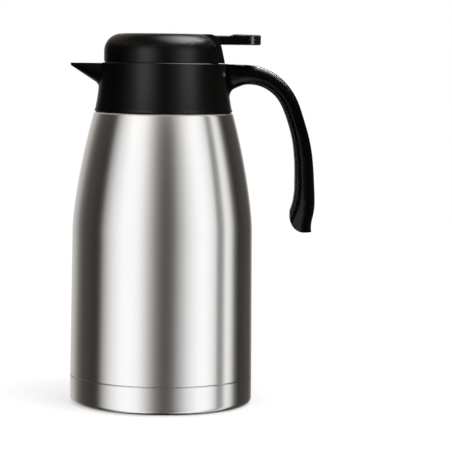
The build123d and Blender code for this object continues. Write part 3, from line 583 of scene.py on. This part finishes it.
dress("collar", black_moulding("collar_plastic", roughness=0.22, grain_depth=2.5 * micron))
dress("neck_nut", black_moulding("nut_plastic", roughness=0.38, grain_depth=8 * micron, dust=0.0))

# ---- Handle ------------------------------------------------------------------
# A hollow hook of the same plastic, moulded open on its inside, where a strip
# closes it.  Two screws from inside the collar hold it.  Glossy surfaces don't
# see it, so the steel shows no dark streak beside the grip.
handle_plastic = black_moulding("handle_plastic", roughness=0.26, grain_depth=0.6 * micron)
for node in handle_pieces:
    dress(node, handle_plastic)
    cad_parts[node].visible_glossy = False

# ---- Lid dome and lever ------------------------------------------------------
# The dome snaps onto the stopper, and the thumb lever rocks on a pin in its
# slot.  Both are black polypropylene, the lever with a finer grain.
dress("lid_dome", black_moulding("lid_plastic", roughness=0.22, grain_depth=2.5 * micron))
dress("lever", black_moulding("lever_plastic", roughness=0.22, grain_depth=1.2 * micron))

# ---- Stopper -----------------------------------------------------------------
# The stopper, the cap on the valve's stem and the valve disc are moulded in a
# duller, food-safe grade.  Two beads wind three quarters of a turn up the
# stopper below its ring, run out at both ends, and nearly reach the neck.
stopper_radius = 38.6 * mm
thread_crest = stopper_radius + 1.1 * mm
thread_root = stopper_radius - 0.3 * mm
thread_foot = 225.2 * mm
thread_lead = 12.0 * mm
thread_turns = 0.75
thread_starts = 2
thread_root_half = 1.3 * mm
thread_crest_half = 0.7 * mm
thread_round = 0.25 * mm
thread_run_out = 0.06           # share of the bead's length at each end
thread_tip_width = 0.3          # share of its width that is left at the very tip
thread_steps = 120

stopper_plastic = black_moulding("stopper_plastic", roughness=0.34, grain_depth=8 * micron,
                                 dust=0.0)
for node in ("stopper_body", "stem_cap", "valve_disc"):
    dress(node, stopper_plastic)


def thread_points(start):
    """Bead along a helix: at the share u of its length its closed profile (r, z) stands at
    the angle start + 2 pi turns u, raised by lead x turns x u.  Its height over the root
    grows as a smooth step from nothing, and sinks the same way at the far end."""
    profile = softened([[thread_root, -thread_root_half], [thread_crest, -thread_crest_half],
                        [thread_crest, thread_crest_half], [thread_root, thread_root_half]],
                       thread_round)
    u = np.linspace(0, 1, thread_steps)[:, None]
    end = np.clip(np.minimum(u, 1 - u) / thread_run_out, 0, 1)
    grown = end * end * (3 - 2 * end)
    width = thread_tip_width + (1 - thread_tip_width) * grown
    a = start + 2 * np.pi * thread_turns * u
    r = thread_root + (profile[:, 0] - thread_root) * grown
    z = thread_foot + thread_lead * thread_turns * u + profile[:, 1] * width
    return np.stack([r * np.cos(a), r * np.sin(a), z], -1)


for k in range(thread_starts):
    points = thread_points(2 * np.pi * k / thread_starts)
    name = f"stopper_thread_{k + 1}"
    thread = add_piece(name, grid_mesh(name, points[::-1], close_u=True), stopper_plastic)
    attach(thread, "lid")

# ---- Screws, pin and valve metal ---------------------------------------------
# Small pieces of stainless steel: the screws and the pin are headed, and the
# stem and its nut are turned, so fine rings run round them.
turned_steel, tree, shader = finish("turned_steel", (0.58, 0.575, 0.57), 0.28, metallic=1.0)
raise_grain(tree, shader, noise(tree, 1.0, stretch=(300, 300, 6000)), 5 * micron)
for node in ("handle_screws", "lever_pin", "valve_stem", "valve_nut"):
    dress(node, turned_steel)

# ---- Valve spring ------------------------------------------------------------
# A compression spring coiled from round stainless wire, with its end turns laid
# close.  It stands loose round the guide.  The real one shortens as the cap
# comes down; this coil is built at one length.
spring_coil = 6.9 * mm
spring_wire = 1.1 * mm
spring_foot = 261.55 * mm
spring_head = 272.85 * mm
spring_turns = 3.5
spring_end_lay = 0.75           # share of the pitch that the end turns give up
spring_steps = 240
wire_sides = 16
wire_cut = 60                   # how abruptly the wire ends
wire_tip = 0.02                 # share of its thickness left at the very tip


def coil_points():
    """Tube along a helix.  At the share u of the coil the wire's centre is at the angle
    2 pi turns u and the height foot + wire/2 + (head - foot - wire)(u - e sin(2 pi u)/2 pi),
    with e the end lay; round it the wire's own circle stands in the radial plane."""
    u = np.linspace(0, 1, spring_steps)[:, None]
    a = 2 * np.pi * spring_turns * u
    lift = u - spring_end_lay * np.sin(2 * np.pi * u) / (2 * np.pi)
    rise = spring_head - spring_foot - spring_wire
    height = spring_foot + spring_wire / 2 + rise * lift
    section = spring_wire / 2 * np.minimum(1, wire_cut * np.sin(np.pi * u) + wire_tip)
    b = np.linspace(0, 2 * np.pi, wire_sides, endpoint=False)[None, :]
    r = spring_coil + section * np.cos(b)
    return np.stack([r * np.cos(a), r * np.sin(a), height + section * np.sin(b)], -1)


coil_mesh = grid_mesh("spring_coil", coil_points()[::-1], close_u=True)
spring = add_piece("spring_coil", coil_mesh, turned_steel)
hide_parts("valve_spring")
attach(spring, "lid")
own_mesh(spring)

# ---- Seals -------------------------------------------------------------------
# The rings and the washer are pressed from food-safe silicone, milky and a
# little see-through at their edges.
milky_share = 0.15
milky_depth = 2.0 * mm

silicone, tree, shader = finish("silicone", (0.52, 0.52, 0.50), 0.45)
shader.inputs["Subsurface Weight"].default_value = milky_share
shader.inputs["Subsurface Radius"].default_value = (milky_depth, milky_depth, milky_depth)
raise_grain(tree, shader, noise(tree, 1800, detail=3.0), 10 * micron)
for node in ("mouth_gasket", "stopper_gasket", "stem_oring", "valve_seal"):
    dress(node, silicone)
